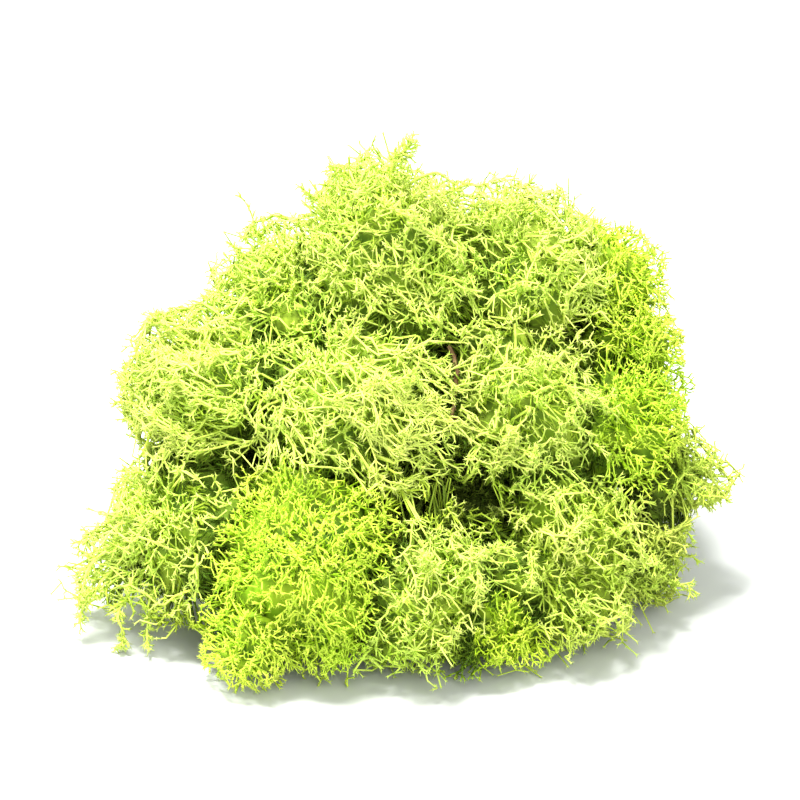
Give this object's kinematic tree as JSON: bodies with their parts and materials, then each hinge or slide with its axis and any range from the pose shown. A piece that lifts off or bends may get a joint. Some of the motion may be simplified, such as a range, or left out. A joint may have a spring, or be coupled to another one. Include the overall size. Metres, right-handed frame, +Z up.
{
  "type": "reindeer moss clump",
  "caption": "Loose clump of dried and dyed reindeer moss: rounded tufts of fine forking branches pressed together, with a raised crest and trailing sprays.",
  "frame": {"origin": "middle of the clump's box on the plane it rests on", "axes": "+Z up from the resting plane, +X to the clump's right along its longest side, -Y to the front, which the picture shows"},
  "size_m": [0.156, 0.1124, 0.1109],
  "materials": {
    "bright_lichen": "matt, dense yellow-green branchlets",
    "pale_lichen": "matt, loose pale yellow-green branches",
    "olive_lichen": "matt, shaded olive-green branches",
    "dead_stem": "matt, dry brown"
  },
  "bodies": {
    "root": {"crown": "pale_lichen", "crown_right": "pale_lichen", "corner": "bright_lichen", "ledge": "bright_lichen", "shoulder": "pale_lichen", "left": "pale_lichen", "comb": "pale_lichen", "middle": "pale_lichen", "right": "bright_lichen", "right_low": "olive_lichen", "trail": "pale_lichen", "mound": "bright_lichen", "front_middle": "pale_lichen", "front_low": "bright_lichen", "front_right": "pale_lichen", "foot_right": "olive_lichen", "head": "bright_lichen", "back_left": "bright_lichen", "back_high": "pale_lichen", "back_low": "bright_lichen", "back_right": "pale_lichen", "hollow": "olive_lichen", "dead_stem": "dead_stem"}
  },
  "joints": []
}
